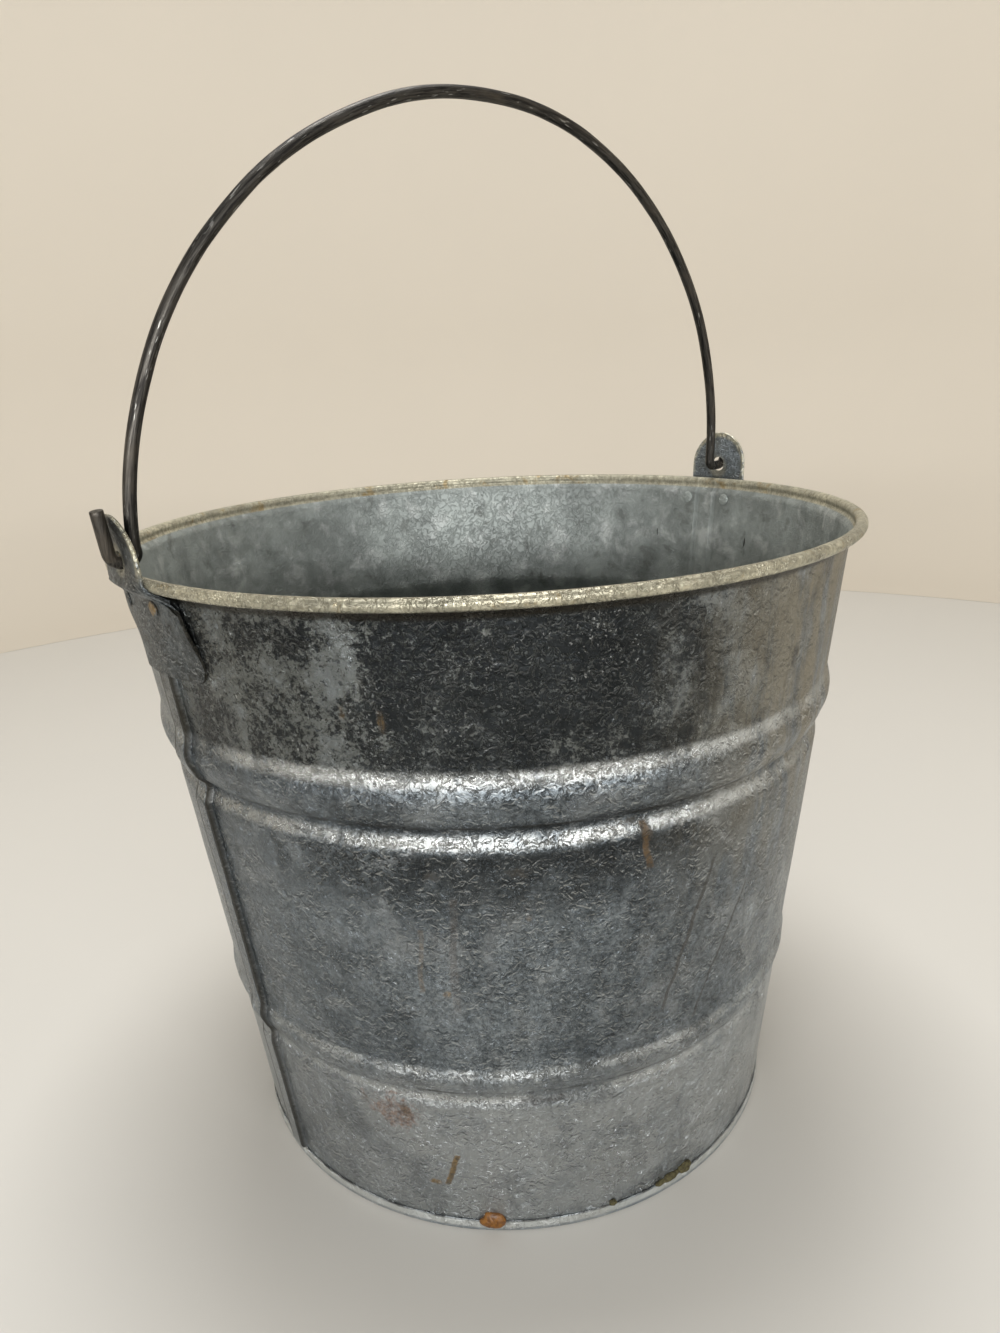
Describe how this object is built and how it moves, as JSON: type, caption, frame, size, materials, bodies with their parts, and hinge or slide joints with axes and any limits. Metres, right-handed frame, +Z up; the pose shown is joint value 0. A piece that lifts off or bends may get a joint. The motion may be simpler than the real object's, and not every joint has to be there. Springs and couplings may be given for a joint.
{
  "type": "metal bucket",
  "caption": "Tapered round galvanised steel bucket with rolled rim, pressed ribs, side seams, rolled foot and a swinging wire bail in two riveted ears.",
  "frame": {"origin": "centre of the foot's lower face, on the ground", "axes": "+Z up along the bucket's axis; +X towards the right ear, along the line the bail turns about; -Y is the front"},
  "size_m": [0.2876, 0.2714, 0.3707],
  "materials": {
    "galvanised_wall": "hot-dip galvanised sheet, mottled, with stains and light rust",
    "galvanised_bottom": "hot-dip galvanised sheet, bright on the rolled foot",
    "ear_plate": "galvanised pressing, worn and darkened",
    "rusty_rivet": "dull, rusted",
    "dark_wire": "oxidised drawn steel wire, matt, with bright scratches"
  },
  "bodies": {
    "pail": {"wall_front": "galvanised_wall", "wall_back": "galvanised_wall", "rim_wire": "dark_wire", "bottom_pan": "galvanised_bottom", "ear_left": "ear_plate", "ear_right": "ear_plate", "rivet_left_front": "rusty_rivet", "rivet_left_back": "rusty_rivet", "rivet_right_front": "rusty_rivet", "rivet_right_back": "rusty_rivet"},
    "bail": {"bail": "dark_wire"}
  },
  "joints": [
    {"name": "bail_swing", "type": "hinge", "parent": "pail", "child": "bail", "pos_m": [0, 0, 0.2361], "axis": [1, 0, 0.0067], "range_deg": [-96.6, 85.1]}
  ]
}
